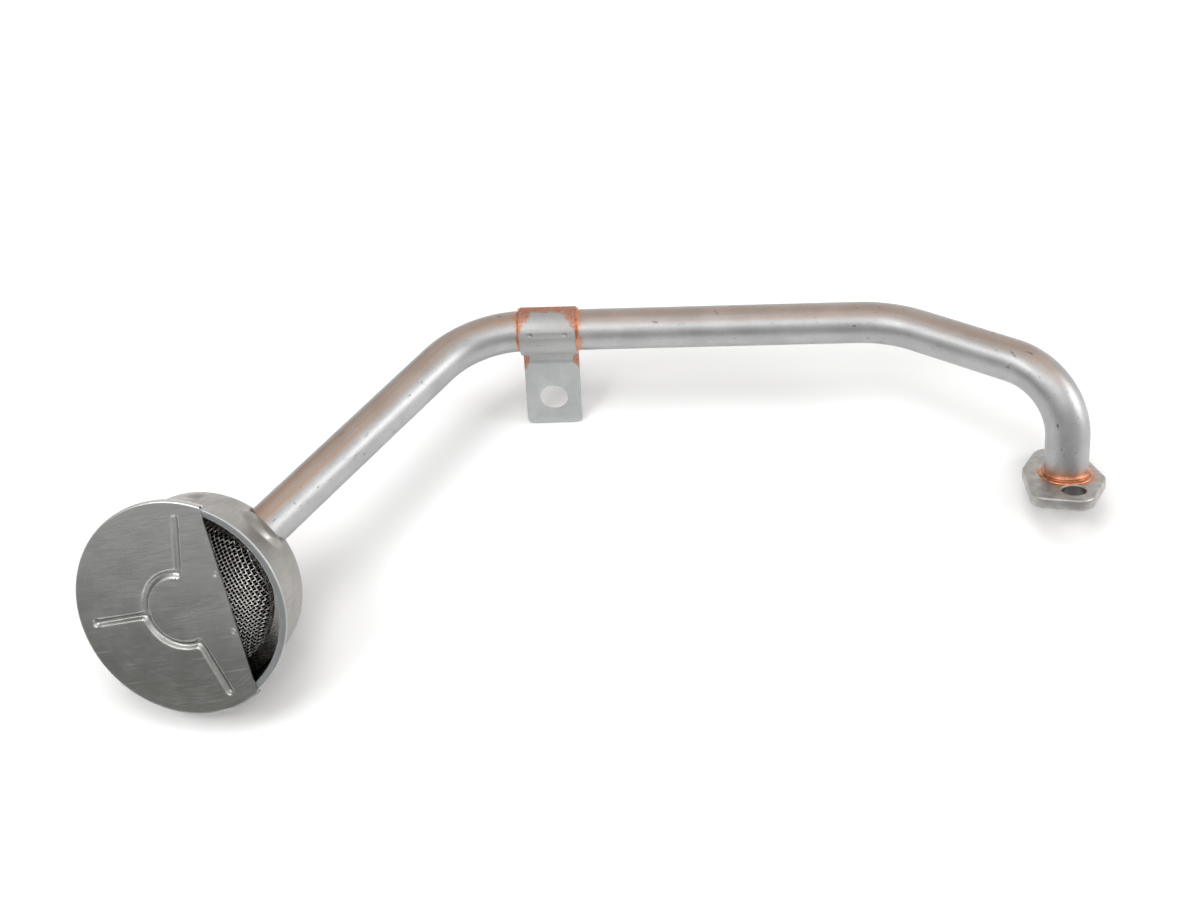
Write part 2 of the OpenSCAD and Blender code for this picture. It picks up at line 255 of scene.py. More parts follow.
def new_ring(made, length):
    """The points and edges of the ring just made, with its length along the pipe noted."""
    verts = [item for item in made if isinstance(item, bmesh.types.BMVert)]
    for vert in verts:
        vert[grain_layer] = (length, vert[grain_layer].y, vert[grain_layer].z)
    kept = set(verts)
    return verts, [item for item in made if isinstance(item, bmesh.types.BMEdge)
                   and item.verts[0] in kept and item.verts[1] in kept]


def straight(bm, ring, length, run):
    made = bmesh.ops.extrude_edge_only(bm, edges=ring)["geom"]
    verts, ring = new_ring(made, length)
    bmesh.ops.translate(bm, verts=verts, vec=(0, 0, run))
    return ring


length = PIPE_START
begun = PIPE_START
for run, degrees, radius, roll, rings in PIPE_RUNS:
    length += run - begun
    ring = straight(pipe, ring, length, run - begun)
    begun = 0.0
    for step in range(rings):
        length += math.radians(degrees) * radius / rings
        verts = list({vert for edge in ring for vert in edge.verts})
        made = bmesh.ops.spin(pipe, geom=verts + ring, cent=(radius, 0, run), axis=(0, 1, 0),
                              angle=math.radians(degrees) / rings, steps=1)["geom_last"]
        verts, ring = new_ring(made, length)
    pipe.transform(past_bend(run, degrees, radius, roll).inverted())
straight(pipe, ring, length + PIPE_LAST, PIPE_LAST)
bmesh.ops.recalc_face_normals(pipe, faces=pipe.faces)


def apply_modifiers(piece):
    shaped = piece.evaluated_get(bpy.context.evaluated_depsgraph_get())
    mesh = bpy.data.meshes.new_from_object(shaped)
    piece.modifiers.clear()
    piece.data = mesh


def thickened(bm, name, thickness, offset):
    """A sheet made an object and given its wall, inwards at an offset of -1 and both ways at 0."""
    piece = put_out(bm, name)
    wall = piece.modifiers.new("wall", "SOLIDIFY")
    wall.thickness = thickness
    wall.offset = offset
    apply_modifiers(piece)
    return piece


def drafted(piece):
    """A piece that modifiers worked on as a bmesh again, and its object gone."""
    bm = bmesh.new()
    bm.from_mesh(piece.data)
    bpy.data.objects.remove(piece)
    return bm


pipe = thickened(pipe, "pipe_draft", PIPE_WALL, -1)
settle(drafted(pipe), "pipe", legs[3], pipe_steel, "suction_tube", "tube_outlet", slot="tube_steel")

# Mounting flange.
# A stamped steel plate, 5 mm thick, with an uneven six-sided outline and tumbled edges. The pipe
# is brazed into its bore, and two screws through the 9 mm holes pull it on to the engine block.
FLANGE_T = 5.0
FLANGE_CORNERS = [
    # place of the corner's centre, and its radius
    (15.5, -10.2, 6.5), (18.5, 1.0, 6.5), (4.0, 10.0, 4.8),
    (-18.5, 4.0, 6.5), (-18.5, -3.0, 6.5), (-6.0, -10.9, 4.8),
]
FLANGE_TURN = 127
FLANGE_EDGE = 0.9
PIPE_FIT = 0.08
SCREW_AT = 15.5
SCREW_R = 4.5
BORE_RIM = 0.3
SCREW_RIM = 0.5
PLATE_AREA = 2e-5
FLANGE_GREY = (0.40, 0.385, 0.365)
FLANGE_DULL = (0.35, 0.335, 0.315)
FLANGE_BRIGHT = (0.46, 0.445, 0.425)
GRIT_DARK = (0.2, 0.185, 0.17)
# painted shade for the walls of the screw holes
HOLE_SHADE = (0.13, 0.125, 0.115)
flange_place = lying @ turned(FLANGE_TURN, "Z")


def lathe(bm, profile, steps, closed=False, layer=None, notes=()):
    """Spins a profile of (radius, height) points about the z axis; notes go to each point's layer."""
    verts = [bm.verts.new((r, 0, z)) for r, z in profile]
    for vert, value in zip(verts, notes):
        vert[layer] = value
    pairs = list(zip(verts, verts[1:])) + ([(verts[-1], verts[0])] if closed else [])
    edges = [bm.edges.new(pair) for pair in pairs]
    bmesh.ops.spin(bm, geom=verts + edges, cent=(0, 0, 0), axis=(0, 0, 1), angle=math.tau,
                   steps=steps, use_merge=True)
    bmesh.ops.remove_doubles(bm, verts=bm.verts, dist=1e-4)
    bmesh.ops.recalc_face_normals(bm, faces=bm.faces)


def wrapped(bm):
    """Closes a skin round all the points, and drops what it doesn't use."""
    bmesh.ops.convex_hull(bm, input=bm.verts)
    bmesh.ops.delete(bm, geom=[v for v in bm.verts if not v.link_faces], context="VERTS")
    bmesh.ops.delete(bm, geom=[e for e in bm.edges if not e.link_faces], context="EDGES")


def cut_out(piece, cutters):
    """Takes the cutters out of a piece and leaves its mesh plain."""
    tools = [put_out(cutter, "cutter") for cutter in cutters]
    for tool in tools:
        cut = piece.modifiers.new("cut", "BOOLEAN")
        cut.object = tool
        cut.solver = "EXACT"
    apply_modifiers(piece)
    for tool in tools:
        bpy.data.objects.remove(tool)


plate = bmesh.new()
for x, y, radius in FLANGE_CORNERS:
    for z in (0, FLANGE_T):
        bmesh.ops.create_circle(plate, segments=56, radius=radius, matrix=shift(x, y, z))
wrapped(plate)
bmesh.ops.dissolve_limit(plate, angle_limit=0.005, verts=plate.verts, edges=plate.edges)
rims = [e for e in plate.edges if abs(e.verts[0].co.z - e.verts[1].co.z) < 1e-6]
bmesh.ops.bevel(plate, geom=rims, offset=FLANGE_EDGE, offset_type="OFFSET", affect="EDGES",
                segments=4, profile=0.5, material=-1)
plate = put_out(plate, "plate")
holes = []
for x, radius, rim in ((0, PIPE_R + PIPE_FIT, BORE_RIM), (SCREW_AT, SCREW_R, SCREW_RIM),
                       (-SCREW_AT, SCREW_R, SCREW_RIM)):
    wide = radius + rim + 1
    half = [(0, -1), (wide, -1), (wide, -0.5), (radius + rim, 0), (radius, rim)]
    hole = bmesh.new()
    lathe(hole, half + [(r, FLANGE_T - z) for r, z in reversed(half)], 72)
    hole.transform(shift(x, 0, 0))
    holes.append(hole)
cut_out(plate, holes)


def vectors(tree, operation, first, second=(0, 0, 0)):
    return add(tree, "VectorMath", {"operation": operation}, _0=first, _1=second).outputs


def from_axis(tree, spot):
    """How far a place is from the z axis."""
    flat = vectors(tree, "MULTIPLY", spot, (1, 1, 0))["Vector"]
    return vectors(tree, "LENGTH", flat)["Value"]


flange_steel, tree, shader = bare_metal("flange_steel", FLANGE_GREY, 0.42)
spot = in_frame(tree, flange_place)
apart = add(tree, "SeparateXYZ", Vector=spot).outputs
grit = cloud(tree, spot, 2.2, 5.0, 0.65)
mottle = cloud(tree, spot, 0.22, 4.0, 0.6)
flow = wander(tree, spot, 0.2, 17.0, 0.52)
stain = ramp(tree, maths(tree, "ADD", from_axis(tree, spot), flow), 12.4, 9.8)
stain = maths(tree, "MULTIPLY", stain, ramp(tree, apart["Z"], 4.2, 4.9))
from_screw = maths(tree, "SUBTRACT", maths(tree, "ABSOLUTE", apart["X"]), SCREW_AT)
from_screw = from_axis(tree, add(tree, "CombineXYZ", X=from_screw, Y=apart["Y"]).outputs[0])
# Painted shade: the walls of the screw holes are painted dark.
hole_shade = ramp(tree, from_screw, SCREW_R + 0.35, SCREW_R + 0.05)
metal = tinted(tree, ramp(tree, mottle, 0.35, 0.65), FLANGE_DULL, FLANGE_BRIGHT)
metal = tinted(tree, ramp(tree, grit, 0.66, 0.72), metal, GRIT_DARK)
metal = tinted(tree, hole_shade, metal, HOLE_SHADE)
metal = tinted(tree, stain, metal, COPPER, 0.62)
coated(tree, shader, metal, ramp(tree, grit, 0.3, 0.7, 0.34, 0.5))
rough_skin(tree, shader, grit, 0.05)
settle(drafted(plate), "flange", flange_place, flange_steel, "mounting_flange", slot="flange_steel",
       flat=PLATE_AREA)

# Braze round the pipe on the flange.
# Copper melted in a furnace drew into the joint and left a hollow fillet round the pipe, with a
# second low ring where it wetted the plate.
FILLET = [
    (8.3, 4.6), (10.7, 4.6), (10.75, 5.0), (10.5, 5.3), (10.1, 5.45), (9.7, 5.42), (9.35, 5.5), (9.2, 5.75),
    (9.38, 6.0), (9.42, 6.3), (9.3, 6.6), (9.05, 6.85), (8.8, 7.05), (8.66, 7.3), (8.3, 7.4),
]
COPPER_DULL = (0.40, 0.16, 0.085)
COPPER_BRIGHT = (0.66, 0.32, 0.19)
COPPER_BURNT = (0.22, 0.12, 0.08)
copper_braze, tree, shader = bare_metal("copper_braze", COPPER, 0.36)
here = add(tree, "TexCoord").outputs["Object"]
patch = cloud(tree, here, 260.0, 5.0, 0.6)
fine = cloud(tree, here, 1500.0, 3.0, 0.6)
metal = tinted(tree, ramp(tree, patch, 0.35, 0.66), COPPER_DULL, COPPER_BRIGHT)
metal = tinted(tree, ramp(tree, fine, 0.62, 0.72), metal, COPPER_BURNT)
coated(tree, shader, metal, ramp(tree, patch, 0.3, 0.7, 0.28, 0.46))
rough_skin(tree, shader, fine, 0.08)


def ripple(bm, place, size, depth):
    """Moves each point of a fillet a little, as melted metal sets."""
    bm.normal_update()
    for vert in bm.verts:
        vert.co += vert.normal * depth * noise.noise(place @ vert.co / size)


fillet = bmesh.new()
lathe(fillet, FILLET, 144, closed=True)
ripple(fillet, flange_place, 3.1, 0.11)
settle(fillet, "flange_fillet", flange_place, copper_braze, "flange_braze", slot="copper_braze", sharp=80)

# Support bracket.
# A strip of 1.6 mm sheet steel wrapped half round the pipe and bent back into a flat tab, with a
# long hole for its screw. Two punched tacks held it while it was brazed.
STRAP_AT = 128.9
STRAP_W = 23.6
STRAP_T = 1.6
STRAP_MID = PIPE_R + PIPE_FIT + STRAP_T / 2
STRAP_WRAP = 184
STRAP_EDGE = 0.22
TAB_TURN = -65.4
TAB_Y = -3.3
TAB_END = 43.0
TAB_CORNER = 2.2
FOLD_X = 14.23
FOLD_SLANT = (-2.47, 0.508, 0)
FOLD_R = 2.85
FOLD_TURN = -78.4
SLOT_AT = 31.6
SLOT_R = 5.4
SLOT_HALF = 0.7
PUNCH_DEEP = 8
TACK_TURN = 97
TACK_HALF = 7.3
TACK_R = 1.25
TACK_LIFT = 0.45
STRAP_CREST = 10.4
FOLD_STAIN = 14.0
CREASE_X = 15.0
STRAP_GREY = (0.44, 0.44, 0.435)
# painted light: the tab's lighter grey, on the same steel as the strap
TAB_LIT_GREY = (0.545, 0.555, 0.555)
BRACKET_DULL = (0.36, 0.365, 0.36)
SPECK_DARK = (0.12, 0.115, 0.11)
# painted shade for the fold line
CREASE_SHADE_GREY = (0.22, 0.22, 0.22)
WASH_DULL = (0.40, 0.155, 0.085)
bracket_place = legs[2] @ shift(0, 0, STRAP_AT) @ turned(TAB_TURN, "Z")

strap = bmesh.new()
edge_pair = [strap.verts.new((TAB_END, TAB_Y, z)) for z in (-STRAP_W / 2, STRAP_W / 2)]
line = [strap.edges.new(edge_pair)]


def carried(bm, line, vec=None, **spin):
    """The sheet's edge carried on by a straight step or a turn."""
    if vec:
        made = bmesh.ops.extrude_edge_only(bm, edges=line)["geom"]
        bmesh.ops.translate(bm, verts=[g for g in made if isinstance(g, bmesh.types.BMVert)], vec=vec)
    else:
        verts = list(line[0].verts)
        made = bmesh.ops.spin(bm, geom=verts + line, axis=(0, 0, 1), **spin)["geom_last"]
    return [g for g in made if isinstance(g, bmesh.types.BMEdge)][:1]


line = carried(strap, line, vec=(FOLD_X - TAB_END, 0, 0))
line = carried(strap, line, vec=FOLD_SLANT)
line = carried(strap, line, cent=(STRAP_MID + FOLD_R, 0, 0), angle=math.radians(FOLD_TURN), steps=12)
carried(strap, line, cent=(0, 0, 0), angle=math.radians(STRAP_WRAP), steps=168)
tips = [v for v in strap.verts if abs(v.co.x - TAB_END) < 1e-4]
bmesh.ops.bevel(strap, geom=tips, offset=TAB_CORNER, offset_type="OFFSET", affect="VERTICES",
                segments=8, profile=0.5, material=-1)
bmesh.ops.recalc_face_normals(strap, faces=strap.faces)
strap = thickened(strap, "strap", STRAP_T, 0)
slot_punch = bmesh.new()
for z in (-SLOT_HALF, SLOT_HALF):
    for y in (0, -PUNCH_DEEP):
        bmesh.ops.create_circle(slot_punch, segments=56, radius=SLOT_R,
                                matrix=shift(SLOT_AT, y, z) @ turned(90, "X"))
wrapped(slot_punch)
bmesh.ops.recalc_face_normals(slot_punch, faces=slot_punch.faces)
punches = [slot_punch]
for s in (-1, 1):
    punch = bmesh.new()
    bmesh.ops.create_uvsphere(punch, u_segments=24, v_segments=16, radius=TACK_R)
    punch.transform(turned(TACK_TURN, "Z") @ shift(STRAP_MID + STRAP_T / 2 + TACK_LIFT, 0, s * TACK_HALF))
    punches.append(punch)
cut_out(strap, punches)
edge_round = strap.modifiers.new("edge", "BEVEL")
edge_round.width = STRAP_EDGE
edge_round.segments = 2
edge_round.limit_method = "ANGLE"
edge_round.angle_limit = math.radians(50)
apply_modifiers(strap)

bracket_steel, tree, shader = bare_metal("bracket_steel", STEEL, 0.34)
spot = in_frame(tree, bracket_place)
apart = add(tree, "SeparateXYZ", Vector=spot).outputs
roll_marks = cloud(tree, spot, 1.0, 4.0, 0.6, (0.25, 0.25, 3.0))
mottle = cloud(tree, spot, 0.16, 5.0, 0.6)
specks = ramp(tree, cloud(tree, spot, 1.1, 3.0, 0.5), 0.69, 0.73)
creep = wander(tree, spot, 0.55, 5.0)
side = maths(tree, "SUBTRACT", STRAP_W / 2, maths(tree, "ABSOLUTE", apart["Z"]))
top = maths(tree, "ADD", apart["X"], STRAP_CREST)
corner = maths(tree, "ADD", maths(tree, "MULTIPLY", side, 0.8), maths(tree, "MULTIPLY", top, 0.62))
corner_wash = ramp(tree, maths(tree, "ADD", corner, creep), 5.6, 3.8)
top_wash = ramp(tree, maths(tree, "ADD", top, maths(tree, "MULTIPLY", creep, 0.4)), 1.3, 0.5)
fold = maths(tree, "MULTIPLY", away_from(tree, apart["X"], FOLD_STAIN), 0.8)
fold = maths(tree, "ADD", maths(tree, "MULTIPLY", side, 1.3), fold)
fold_wash = ramp(tree, maths(tree, "ADD", fold, creep), 4.6, 2.8)
wash = maths(tree, "MAXIMUM", corner_wash, maths(tree, "MAXIMUM", top_wash, fold_wash))
thin = ramp(tree, cloud(tree, spot, 0.9, 4.0, 0.6), 0.3, 0.6, 0.6, 1.0)
wash = maths(tree, "MULTIPLY", wash, thin)
drawn = tinted(tree, ramp(tree, cloud(tree, spot, 1.3, 4.0, 0.65), 0.4, 0.62), WASH_DULL, COPPER)
# Painted shade: a thin dark line across the tab where it is folded.
crease_shade = ramp(tree, away_from(tree, apart["X"], CREASE_X), 1.3, 0.1, 0.0, 0.32)
# Painted light: the tab is painted a lighter grey than the strap, though both are the same steel.
metal = tinted(tree, ramp(tree, apart["X"], 11.5, 17.0), STRAP_GREY, TAB_LIT_GREY)
metal = tinted(tree, ramp(tree, mottle, 0.3, 0.7, 0.0, 0.22), metal, BRACKET_DULL)
metal = tinted(tree, specks, metal, SPECK_DARK, 0.8)
metal = tinted(tree, crease_shade, metal, CREASE_SHADE_GREY)
metal = tinted(tree, wash, metal, drawn, 0.9)
coated(tree, shader, metal, ramp(tree, roll_marks, 0.3, 0.7, 0.48, 0.6))
rough_skin(tree, shader, maths(tree, "SUBTRACT", maths(tree, "MULTIPLY", roll_marks, 0.3), specks), 0.05)
settle(drafted(strap), "bracket", bracket_place, bracket_steel, "support_bracket", slot="bracket_steel",
       flat=PLATE_AREA)

# Braze along the bracket.
# The same copper, run along the strap's free end and both of its side edges, and heaped a little
# where it was laid along that end.
SIDE_SEAM = [
    # radius, and how far past the strap's edge
    (8.3, -0.2), (9.1, -0.2), (9.15, 0.1), (9.0, 0.3), (8.86, 0.6), (8.74, 0.9), (8.64, 1.3), (8.3, 1.4),
]
SIDE_SEAM_TURN = 190
END_SEAM = [
    # radius, and degrees round the pipe
    (8.3, 182.0), (9.7, 183.0), (9.75, 184.4), (9.4, 186.4), (9.0, 189.0), (8.72, 193.0), (8.3, 194.5),
]
END_SEAM_PAST = 1.0
END_SEAM_STEPS = 60


def outline(bm, points):
    """A closed line through points, as the points and edges that spin takes."""
    verts = [bm.verts.new(point) for point in points]
    return verts + [bm.edges.new(pair) for pair in zip(verts, verts[1:] + verts[:1])]


seams = bmesh.new()
for s in (-1, 1):
    seam = outline(seams, [(r, 0, s * (STRAP_W / 2 + past)) for r, past in SIDE_SEAM])
    bmesh.ops.spin(seams, geom=seam, cent=(0, 0, 0), axis=(0, 0, 1),
                   angle=math.radians(SIDE_SEAM_TURN), steps=90)
seam_low = -STRAP_W / 2 - END_SEAM_PAST
seam = outline(seams, [(r * math.cos(math.radians(a)), r * math.sin(math.radians(a)), seam_low)
                       for r, a in END_SEAM])
bmesh.ops.spin(seams, geom=seam, dvec=(0, 0, (STRAP_W + 2 * END_SEAM_PAST) / END_SEAM_STEPS), angle=0,
               axis=(0, 0, 1), steps=END_SEAM_STEPS)
bmesh.ops.holes_fill(seams, edges=[e for e in seams.edges if e.is_boundary])
bmesh.ops.recalc_face_normals(seams, faces=seams.faces)
ripple(seams, bracket_place, 2.6, 0.22)
settle(seams, "bracket_seams", bracket_place, copper_braze, "bracket_braze", slot="copper_braze", sharp=80)

# Strainer cup.
# Deep-drawn from 1.2 mm sheet, with a turned-out lip, and pierced at a slant for the pipe, where
# the metal swells out over it and seats on it. Crimps in the wall hold the screen.
CUP_AT = 105.3
CUP_CLOCK = 55.8
CUP_TILT = 38.7
ENTRY = (30.1, 0.3, -30.6)
CUP_DEEP = 32.0
CUP_T = 1.2
LIP_R = 41.8
WALL_TOP = 39.8
BACK_R = 37.0
BACK_ROUND = 6.0
SWELL = 1.8
SWELL_FROM = 30
SWELL_REACH = 12
SWELL_HALF = 10.5
SWELL_UP = 7.5
SWELL_FADE = 6
SEAT_Z = -20.5
SEAT_DEEP = 7.0
SEAT_LAP = 1.2
SEAT_SLOPE = 1.25
SEAT_HALF = 8.7
SEAT_EASE = 2.6
PIPE_SLOPE = 0.801
PIPE_RISE = 11.0
CRIMP_TURNS = (45, 225)
CRIMP_AT = 38.2
CRIMP_Z = -19.5
CRIMP_R = 5.0
CRIMP_DEEP = 1.2
CUP_GREY = (0.40, 0.385, 0.365)
CUP_DULL = (0.32, 0.305, 0.285)
CUP_BRIGHT = (0.37, 0.355, 0.335)
CUP_RUB = (0.28, 0.265, 0.245)
LIP_GREY = (0.43, 0.445, 0.445)
# painted shade for the inside of the cup
CUP_INSIDE_SHADE = (0.045, 0.043, 0.04)
cup_end = legs[3] @ shift(0, 0, CUP_AT) @ turned(CUP_CLOCK, "Z") @ turned(CUP_TILT, "Y")
cup_place = cup_end @ shift(-ENTRY[0], -ENTRY[1], -ENTRY[2])


def spaced(a, b, count):
    """Points from a to b, without a."""
    return [(a[0] + (b[0] - a[0]) * i / count, a[1] + (b[1] - a[1]) * i / count)
            for i in range(1, count + 1)]


def bow(centre, radius, start, stop, count):
    """Points of an arc in the profile."""
    turn = [math.radians(start + (stop - start) * i / count) for i in range(count + 1)]
    return [(centre[0] + radius * math.cos(t), centre[1] + radius * math.sin(t)) for t in turn]


def eased(share):
    """A share held between 0 and 1 that starts and ends softly."""
    share = max(0.0, min(1.0, share))
    return share * share * (3 - 2 * share)


lean = math.degrees(math.atan((WALL_TOP - BACK_R) / (CUP_DEEP - BACK_ROUND - CUP_T)))
round_at = (BACK_R - BACK_ROUND, BACK_ROUND - CUP_DEEP)
outside = [(0, -CUP_DEEP)]
outside += spaced(outside[-1], (round_at[0], -CUP_DEEP), 26)
outside += bow(round_at, BACK_ROUND, -90, -lean, 10)[1:]
outside += spaced(outside[-1], (WALL_TOP - 0.1, -CUP_T - 1.0), 42)
outside += bow((WALL_TOP + 0.8, -CUP_T - 0.9), 0.9, 180, 90, 5)
outside += bow((LIP_R - 0.6, -0.6), 0.6, -90, 90, 8)
outside += bow((WALL_TOP - 0.2, -1.0), 1.0, 90, 180, 5)
foot = bow(round_at, BACK_ROUND - CUP_T, -lean, -90, 10)
inside = spaced(outside[-1], foot[0], 42) + foot[1:]
inside += spaced(inside[-1], (0, CUP_T - CUP_DEEP), 26)
cup = bmesh.new()
inner_wall = cup.verts.layers.float.new("inner_wall")
lathe(cup, outside + inside, 400, layer=inner_wall, notes=[0] * len(outside) + [1] * len(inside))
bore = bmesh.new()
lathe(bore, [(0, -40), (PIPE_R + PIPE_FIT, -40), (PIPE_R + PIPE_FIT, 20), (0, 20)], 96)
bore.transform(shift(*ENTRY) @ turned(-CUP_TILT, "Y"))
cup = put_out(cup, "cup_draft")
cut_out(cup, [bore])
cup = drafted(cup)
inner_wall = cup.verts.layers.float["inner_wall"]
crimps = [turned(turn, "Z") @ Vector((CRIMP_AT, 0, CRIMP_Z)) for turn in CRIMP_TURNS]
for vert in cup.verts:
    out, at = math.hypot(vert.co.x, vert.co.y), math.atan2(vert.co.y, vert.co.x)
    outward = Vector((math.cos(at), math.sin(at), 0))
    aside, over = abs(vert.co.y - ENTRY[1]), vert.co.z - SEAT_Z
    if out > SWELL_FROM and vert.co.x > 0 and aside < SWELL_REACH:
        bulge = 1 - (aside / SWELL_HALF) ** 2 - (max(over, 0.0) / SWELL_UP) ** 2
        swell = SWELL * eased(1.5 * bulge)
        move = swell * max(0.0, min(1.0, 1 + over / SWELL_FADE))
        if over < 0:
            crown = PIPE_RISE * math.sqrt(max(0.0, 1 - (aside / PIPE_R) ** 2))
            pipe_top = ENTRY[0] - PIPE_SLOPE * (vert.co.z - ENTRY[2]) + crown
            on_pipe = pipe_top - SEAT_LAP - out - CUP_T * vert[inner_wall]
            seat = max(-SEAT_DEEP, on_pipe, swell + SEAT_SLOPE * over)
            move += min(0.0, seat - move) * eased((SEAT_HALF - aside) / SEAT_EASE)
        vert.co += outward * move
    for crimp in crimps:
        vert.co -= outward * CRIMP_DEEP * eased(1 - (vert.co - crimp).length / CRIMP_R)

cup_steel, tree, shader = bare_metal("cup_steel", CUP_GREY, 0.38)
spot = in_frame(tree, cup_place)
height = add(tree, "SeparateXYZ", Vector=spot).outputs["Z"]
mottle = cloud(tree, spot, 0.07, 4.0, 0.5)
draw_lines = cloud(tree, spot, 0.9, 4.0, 0.6, (1, 1, 0.06))
rub = ramp(tree, cloud(tree, spot, 0.7, 5.0, 0.7, (1, 1, 0.3)), 0.6, 0.74)
on_lip = ramp(tree, from_axis(tree, spot), 38.2, 38.9)
on_lip = maths(tree, "MULTIPLY", ramp(tree, height, -2.6, -1.0), on_lip)
# Painted shade: the whole inside wall of the cup is painted near black.
inside_shade = ramp(tree, add(tree, "Attribute", {"attribute_name": "inner_wall"}).outputs["Fac"], 0.2, 0.8)
metal = tinted(tree, ramp(tree, mottle, 0.3, 0.7), CUP_DULL, CUP_BRIGHT)
metal = tinted(tree, rub, metal, CUP_RUB, 0.25)
metal = tinted(tree, on_lip, metal, LIP_GREY)
metal = tinted(tree, inside_shade, metal, CUP_INSIDE_SHADE)
coated(tree, shader, metal, ramp(tree, draw_lines, 0.3, 0.7, 0.30, 0.46))
rough_skin(tree, shader, draw_lines, 0.03)
settle(cup, "cup", cup_place, cup_steel, "strainer_cup", slot="cup_steel", sharp=50)

# Domed screen.
# Steel wire woven plain, over one and under one, at 1.25 mm, pressed into a dome with an upright
# edge and crimped to a flat rim inside the cup.
DOME_R = 30.5
DOME_H = 13.0
RIM_Z = -14.5
RIM_R = 36.7
RIM_T = 0.9
PITCH = 1.25
WIRE = 0.55
WEAVE_TURN = -18
WIRE_GREY = (0.5, 0.49, 0.47)
WIRE_DULL = (0.58, 0.57, 0.54)
WIRE_BRIGHT = (0.85, 0.84, 0.80)
RUST = (0.33, 0.19, 0.11)
weave = bpy.data.curves.new("weave", "CURVE")
weave.dimensions = "3D"
weave.bevel_depth = WIRE / 2
weave.bevel_resolution = 0
weave.use_fill_caps = True
count = int(DOME_R / PITCH)
for crossing in (False, True):
    for k in range(-count, count + 1):
        aside = (k + 0.5) * PITCH
        if abs(aside) > DOME_R - 1:
            continue
        share = math.sqrt(1 - (aside / DOME_R) ** 2)
        half, high = DOME_R * share, DOME_H * share
        side_up = (-1 if k % 2 else 1) * (1 if crossing else -1)
        # about four points to each wire that this one crosses
        steps = max(12, int(2.2 * half / (PITCH / 4)))
        wire = weave.splines.new("POLY")
        wire.points.add(steps)
        for i in range(steps + 1):
            turn = -math.pi / 2 + math.pi * i / steps
            reach = half * math.sin(turn)
            knot = Vector((reach, aside, high * math.cos(turn)))
            lift = Vector((knot.x / DOME_R ** 2, knot.y / DOME_R ** 2, knot.z / DOME_H ** 2)).normalized()
            knot += lift * math.cos(math.pi * (reach / PITCH - 0.5)) * side_up * WIRE * 0.5
            if crossing:
                knot = Vector((-knot.y, knot.x, knot.z))
            wire.points[i].co = (knot.x, knot.y, knot.z + RIM_Z, 1)
wires = bpy.data.objects.new("weave", weave)
bpy.context.scene.collection.objects.link(wires)
shaped = wires.evaluated_get(bpy.context.evaluated_depsgraph_get())
woven = bmesh.new()
woven.from_mesh(bpy.data.meshes.new_from_object(shaped))
bpy.data.objects.remove(wires)
bmesh.ops.remove_doubles(woven, verts=woven.verts, dist=1e-4)
bmesh.ops.recalc_face_normals(woven, faces=woven.faces)

screen_wire, tree, shader = bare_metal("screen_wire", WIRE_GREY, 0.3)
spot = in_frame(tree, cup_place)
mottle = cloud(tree, spot, 0.2)
rust = ramp(tree, cloud(tree, spot, 0.33, 3.0), 0.62, 0.7)
metal = tinted(tree, ramp(tree, mottle, 0.3, 0.7), WIRE_DULL, WIRE_BRIGHT)
metal = tinted(tree, rust, metal, RUST, 0.5)
coated(tree, shader, metal, ramp(tree, cloud(tree, spot, 2.0), 0.3, 0.7, 0.22, 0.4))
settle(woven, "screen_weave", cup_place @ turned(WEAVE_TURN, "Z"), screen_wire, "strainer_screen",
       slot="screen_wire", sharp=120)
rim = bmesh.new()
lathe(rim, [(DOME_R - RIM_T, RIM_Z - RIM_T), (RIM_R - 0.2, RIM_Z - RIM_T), (RIM_R, RIM_Z - 0.7),
            (RIM_R, RIM_Z - 0.2), (RIM_R - 0.2, RIM_Z), (DOME_R + 0.5, RIM_Z), (DOME_R + 0.1, RIM_Z + 0.4),
            (DOME_R - 0.3, RIM_Z + 1.3), (DOME_R - RIM_T, RIM_Z + 1.3)], 180, closed=True)
settle(rim, "screen_rim", cup_place, screen_wire, "strainer_screen", slot="screen_wire")

# Cover plate.
# A disc of 0.8 mm sheet, stiffened by pressed beads, hemmed round the cup's lip and cut off along
# a straight line, so that oil comes in on one side only.
COVER_R = 42.7
COVER_T = 0.8
COVER_TURN = -32
CHORD = 20.4
HEM_ROUND = 0.6
HEM_Z = -1.5
BEAD_RING = 14.4
BEAD_END = 36.0
BEAD_DEEP = 1.5
BEAD_HALF = 1.55
BEAD_SPREAD = 105
BEAD_BLEND = 0.5
DIMPLE_AT = (18.6, 11.5)
DIMPLE_R = 1.3
DIMPLE_DEEP = 0.5
COVER_GREY = (0.25, 0.255, 0.245)
# painted shade and painted light at the two ends of the cover's slope
COVER_SHADED_GREY = (0.255, 0.26, 0.24)
COVER_LIT_GREY = (0.61, 0.62, 0.6)
ARC_BRIGHT = (0.62, 0.62, 0.6)
ROLL_DARK = (0.26, 0.26, 0.25)
STREAK_BRIGHT = (0.68, 0.69, 0.68)
COVER_GRIT = (0.16, 0.165, 0.15)
cover_place = cup_place @ turned(COVER_TURN, "Z")

